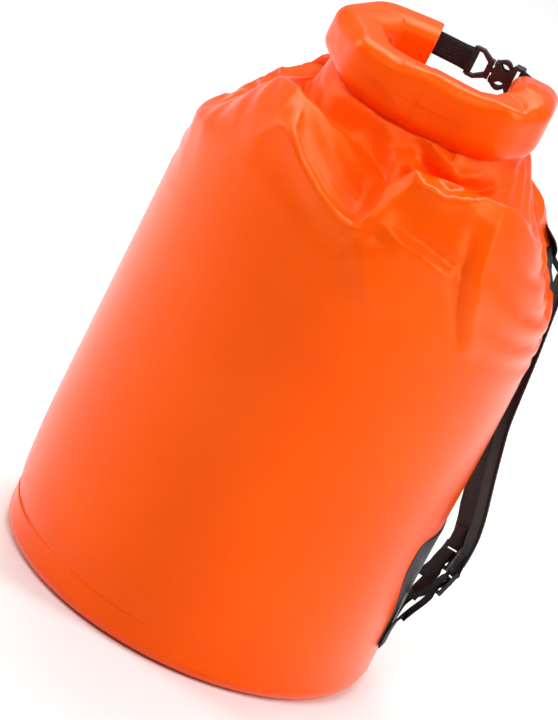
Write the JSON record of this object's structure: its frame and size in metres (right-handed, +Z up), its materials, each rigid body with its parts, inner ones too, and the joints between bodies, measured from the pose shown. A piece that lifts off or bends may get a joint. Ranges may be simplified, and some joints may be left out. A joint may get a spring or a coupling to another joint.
{
  "type": "roll-top dry bag",
  "caption": "Round-bottomed roll-top dry bag in welded tarpaulin, worn on two shoulder straps, its rolled collar bent into a ring and clipped with a side-release buckle.",
  "frame": {"origin": "centre of the base on the standing plane", "axes": "+Z up the bag's axis, -Y the front, +X the side with the shoulder straps"},
  "size_m": [0.3539, 0.32, 0.5238],
  "materials": {
    "tarpaulin": "semi-gloss orange PVC-coated fabric",
    "webbing": "black woven webbing",
    "patch": "black PVC-coated fabric, satin",
    "buckle_plastic": "black moulded acetal, satin",
    "stiffener": "black plastic strip"
  },
  "bodies": {
    "bag": {"base_disc": "tarpaulin", "body_tube": "tarpaulin", "rolled_collar": "tarpaulin", "mouth_stiffener_outer": "stiffener", "mouth_stiffener_inner": "stiffener", "closure_tab_male": "webbing", "closure_tab_female": "webbing", "buckle_female_housing": "buckle_plastic", "lower_patch": "patch", "upper_patch": "patch", "lower_anchor_left": "webbing", "lower_anchor_right": "webbing", "upper_anchor_left": "webbing", "upper_anchor_right": "webbing"},
    "buckle_male": {"buckle_male_frame": "buckle_plastic"},
    "prong_upper": {"buckle_prong_upper": "buckle_plastic"},
    "prong_lower": {"buckle_prong_lower": "buckle_plastic"},
    "strap_left": {"shoulder_strap_left": "webbing", "lower_webbing_left": "webbing"},
    "strap_right": {"shoulder_strap_right": "webbing", "lower_webbing_right": "webbing"},
    "lock_left": {"ladder_lock_left": "buckle_plastic"},
    "lock_right": {"ladder_lock_right": "buckle_plastic"}
  },
  "joints": [
    {"name": "buckle_release", "type": "slide", "parent": "bag", "child": "buckle_male", "axis": [-1, 0, 0], "range_m": [0, 0.018], "deforming": ["closure_tab_male"]},
    {"name": "prong_squeeze_upper", "type": "hinge", "parent": "buckle_male", "child": "prong_upper", "pos_m": [0.0313, 0.057, 0.5021], "axis": [0, 1, 0], "range_deg": [0, 6], "stiffness_Nm_per_rad": 0.05},
    {"name": "prong_squeeze_lower", "type": "hinge", "parent": "buckle_male", "child": "prong_lower", "pos_m": [0.0313, 0.057, 0.4925], "axis": [0, -1, 0], "range_deg": [0, 6], "stiffness_Nm_per_rad": 0.05},
    {"name": "strap_swing_left", "type": "hinge", "parent": "bag", "child": "strap_left", "pos_m": [0.16133, -0.02325, 0.071], "axis": [-0.043, 0.294, 0.9548], "range_deg": [-8, 8], "stiffness_Nm_per_rad": 0.05},
    {"name": "ladder_lock_tilt_left", "type": "hinge", "parent": "strap_left", "child": "lock_left", "pos_m": [0.18625, -0.00092, 0.1218], "axis": [0.2279, -0.9276, 0.2959], "range_deg": [0, 30]},
    {"name": "strap_swing_right", "type": "hinge", "parent": "bag", "child": "strap_right", "pos_m": [0.16133, 0.02325, 0.071], "axis": [-0.1334, 0.2791, 0.951], "range_deg": [-8, 8], "stiffness_Nm_per_rad": 0.05},
    {"name": "ladder_lock_tilt_right", "type": "hinge", "parent": "strap_right", "child": "lock_right", "pos_m": [0.17843, 0.05221, 0.12169], "axis": [0.4785, -0.8221, 0.3084], "range_deg": [0, 30]}
  ]
}
